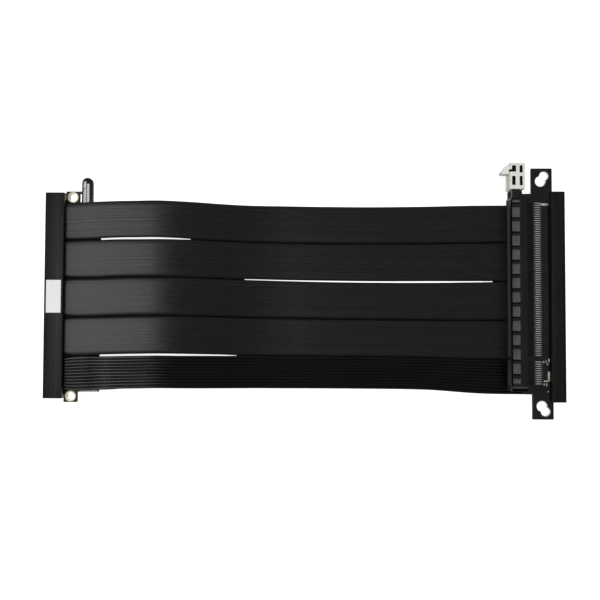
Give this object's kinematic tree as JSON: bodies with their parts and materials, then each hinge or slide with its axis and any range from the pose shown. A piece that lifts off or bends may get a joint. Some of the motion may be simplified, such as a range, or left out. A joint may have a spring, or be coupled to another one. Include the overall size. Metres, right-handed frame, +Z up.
{
  "type": "gpu riser cable",
  "caption": "Flat riser cable for a graphics card: an edge connector plug and a latched card slot joined by flat cable strips.",
  "frame": {"origin": "centre of the footprint of the two rigid ends, on the surface they stand on", "axes": "+X from the plug end to the slot end, +Y across the strips towards the slot's latch, +Z up from the surface"},
  "size_m": [0.2376, 0.1174, 0.0119],
  "materials": {
    "cover": "matt black moulded shell",
    "board": "black lacquered circuit board",
    "housing": "matt black moulded connector",
    "strip": "smooth satin black jacket",
    "ribbon": "glossy black ribbed ribbon",
    "latch": "off-white moulded plastic",
    "label": "blank white label",
    "gold": "gold plated contact",
    "tinned": "tinned contact spring",
    "copper": "bare copper wire and bar",
    "inner": "black filler bar"
  },
  "bodies": {
    "base": {"plug_board": "board", "plug_contacts_top_short": "gold", "plug_contacts_top_long": "gold", "plug_contacts_bottom_short": "gold", "plug_contacts_bottom_long": "gold", "plug_ring_upper": "gold", "plug_ring_lower": "gold", "plug_cover_top": "cover", "plug_cover_bottom": "cover", "plug_strain_bar": "inner", "plug_wire_ends_1": "copper", "plug_wire_ends_2": "copper", "plug_wire_ends_3": "copper", "plug_wire_ends_4": "copper", "plug_wire_ends_5": "copper", "blank_label": "label", "flat_strip_1": "strip", "flat_strip_2": "strip", "flat_strip_3": "strip", "flat_strip_4": "strip", "ribbon_strip_5": "ribbon", "slot_board": "board", "slot_housing": "housing", "slot_contacts_upper": "tinned", "slot_contacts_lower": "tinned", "slot_cover_bottom": "cover", "slot_cover_top": "cover", "slot_strain_bar": "inner", "slot_wire_ends_1": "copper", "slot_wire_ends_2": "copper", "slot_wire_ends_3": "copper", "slot_wire_ends_4": "copper", "slot_wire_ends_5": "copper"},
    "latch": {"retention_latch": "latch"}
  },
  "joints": [
    {"name": "latch_swing", "type": "hinge", "parent": "base", "child": "latch", "pos_m": [0.0974, 0.04445, 0.0055], "axis": [0, 0, -1], "range_deg": [0, 15]}
  ]
}
